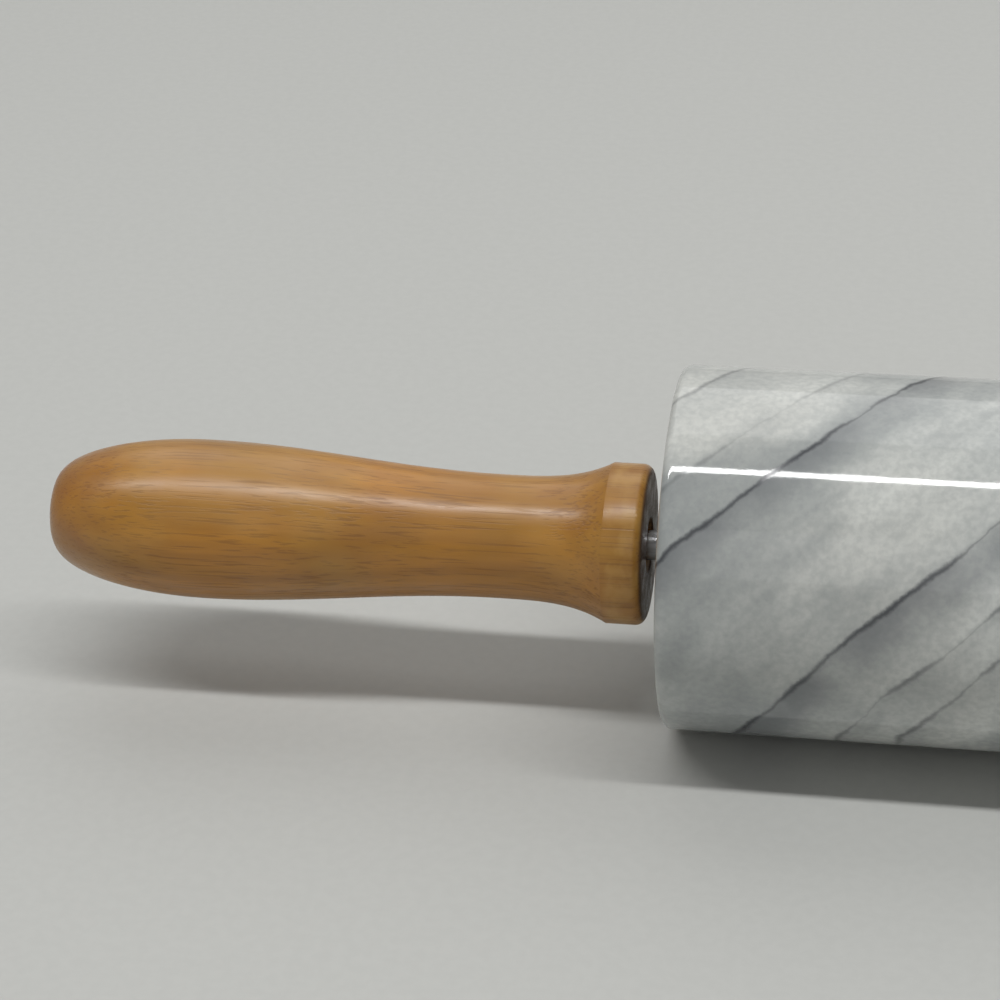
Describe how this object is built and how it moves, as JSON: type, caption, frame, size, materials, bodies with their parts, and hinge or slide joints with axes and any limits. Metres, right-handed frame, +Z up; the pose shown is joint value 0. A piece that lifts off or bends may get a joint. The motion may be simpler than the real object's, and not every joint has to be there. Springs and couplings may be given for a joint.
{
  "type": "marble rolling pin",
  "caption": "Rolling pin with a polished marble barrel that turns on a thin steel rod between fixed turned wooden handles.",
  "frame": {"origin": "the middle of the barrel, on the axis of the rod", "axes": "+X along the rod towards the right handle, +Y away from a viewer who has the left handle on the left, +Z up; at rest the barrel lies on a table at Z = -30 mm"},
  "size_m": [0.4644, 0.06, 0.06],
  "materials": {
    "marble": "polished, white with grey veins and clouds",
    "bright_steel": "bright drawn rod",
    "nylon": "natural nylon, satin",
    "plated_steel": "zinc plated",
    "brass": "turned",
    "varnished_wood": "honey varnish, satin and worn"
  },
  "bodies": {
    "axle": {"axle_rod": "bright_steel", "left_insert": "brass", "right_insert": "brass", "left_handle": "varnished_wood", "right_handle": "varnished_wood"},
    "washers": {"left_washer": "plated_steel", "right_washer": "plated_steel"},
    "barrel": {"barrel": "marble", "left_bushing": "nylon", "right_bushing": "nylon"}
  },
  "joints": [
    {"name": "barrel_end_float", "type": "slide", "parent": "axle", "child": "washers", "axis": [1, 0, 0], "range_m": [-0.0018, 0.0018]},
    {"name": "barrel_spin", "type": "hinge", "parent": "washers", "child": "barrel", "pos_m": [0, 0, 0], "axis": [1, 0, 0], "continuous": true}
  ]
}
